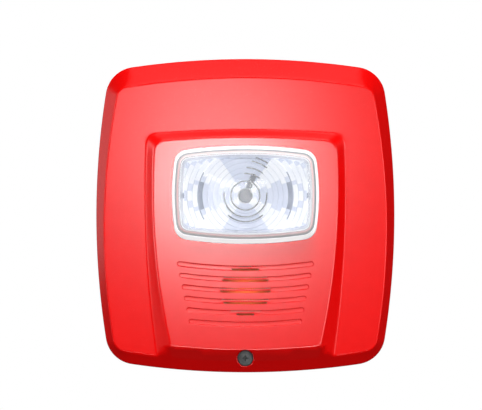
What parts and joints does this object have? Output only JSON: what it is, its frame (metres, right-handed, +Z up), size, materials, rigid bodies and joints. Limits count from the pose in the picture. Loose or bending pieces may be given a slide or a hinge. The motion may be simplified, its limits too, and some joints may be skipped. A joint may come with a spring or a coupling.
{
  "type": "horn strobe",
  "caption": "Wall-mounted fire alarm horn strobe: bowed red cover, clear flash lens, grooved horn grille and a hinged head on a mounting plate.",
  "frame": {"origin": "middle of the mounting plate's flat back, which lies against the wall", "axes": "+Z up the wall, +X to the right seen from the front, +Y out of the back into the wall; the front faces -Y"},
  "size_m": [0.127, 0.0415, 0.1334],
  "materials": {
    "base_plastic": "moulded red plastic, fine satin",
    "red_plastic": "moulded red polycarbonate blend, semi-gloss",
    "black_plastic": "moulded black plastic, matt",
    "white_plastic": "moulded natural nylon",
    "zinc_screw": "zinc plated steel",
    "dark_screw": "black oxide steel",
    "phosphor_bronze": "stamped phosphor bronze",
    "brass": "rolled brass",
    "board_laminate": "glass epoxy laminate with green solder mask",
    "capacitor_sleeve": "dark blue shrink sleeve",
    "copper_winding": "enamelled copper wire under amber tape",
    "ferrite": "sintered ferrite with a copper winding",
    "chip_epoxy": "black moulding epoxy",
    "aluminium_can": "drawn aluminium can",
    "resistor_body": "black glazed chip resistor",
    "clear_lens": "clear moulded polycarbonate, polished",
    "tube_glass": "borosilicate glass",
    "bright_reflector": "vacuum metallised plastic",
    "nickel": "nickel wire and caps",
    "grey_sleeve": "grey silicone sleeving",
    "black_rubber": "closed-cell foam rubber",
    "piezo_white": "silvered piezo ceramic",
    "lead_insulation": "red wire insulation"
  },
  "bodies": {
    "base": {"mounting_plate": "base_plastic", "terminal_block": "black_plastic", "terminal_block_screws": "zinc_screw", "terminal_screws": "zinc_screw", "wire_clamps": "zinc_screw", "contact_clips": "phosphor_bronze", "threaded_insert": "brass"},
    "head": {"front_cover": "red_plastic", "rear_housing": "black_plastic", "housing_screws": "zinc_screw", "circuit_board": "board_laminate", "board_screws": "zinc_screw", "contact_blades": "phosphor_bronze", "flash_capacitor": "capacitor_sleeve", "trigger_transformer": "copper_winding", "charging_inductor": "ferrite", "power_transistor": "chip_epoxy", "controller_chip": "chip_epoxy", "filter_capacitors": "aluminium_can", "resistors": "resistor_body", "lens": "clear_lens", "lens_gasket": "black_rubber", "lens_retainer": "black_plastic", "retainer_screws": "zinc_screw", "reflector": "bright_reflector", "flash_tube": "tube_glass", "tube_caps": "nickel", "tube_holder": "white_plastic", "trigger_wire": "nickel", "return_lead": "grey_sleeve", "horn_housing": "black_plastic", "horn_back": "black_plastic", "horn_gasket": "black_rubber", "piezo_disc": "brass", "piezo_ceramic": "piezo_white", "piezo_leads": "lead_insulation", "candela_switch": "white_plastic", "volume_switch": "white_plastic", "tone_switch": "white_plastic"},
    "candela_slider": {"candela_slider": "black_plastic"},
    "volume_slider": {"volume_slider": "black_plastic"},
    "tone_dial": {"tone_dial": "black_plastic"},
    "screw_retainer": {"screw_retainer": "white_plastic"},
    "captive_screw": {"captive_screw": "dark_screw"}
  },
  "joints": [
    {"name": "head_swing", "type": "hinge", "parent": "base", "child": "head", "pos_m": [0, -0.0062, 0.059], "axis": [-1, 0, 0], "range_deg": [0, 35]},
    {"name": "screw_travel", "type": "slide", "parent": "head", "child": "screw_retainer", "axis": [0, -1, 0], "range_m": [0, 0.00317]},
    {"name": "screw_turn", "type": "hinge", "parent": "screw_retainer", "child": "captive_screw", "pos_m": [0, -0.0219, -0.0606], "axis": [0, -1, 0], "range_deg": [0, 1440]},
    {"name": "candela_slide", "type": "slide", "parent": "head", "child": "candela_slider", "axis": [1, 0, 0], "range_m": [0, 0.0068]},
    {"name": "volume_slide", "type": "slide", "parent": "head", "child": "volume_slider", "axis": [1, 0, 0], "range_m": [0, 0.0048]},
    {"name": "tone_turn", "type": "hinge", "parent": "head", "child": "tone_dial", "pos_m": [0.03, -0.0125, 0.043], "axis": [0, -1, 0], "range_deg": [0, 180]}
  ],
  "couplings": [
    {"joint": "screw_turn", "follows": "screw_travel", "rad_per_m": 7915.8}
  ]
}
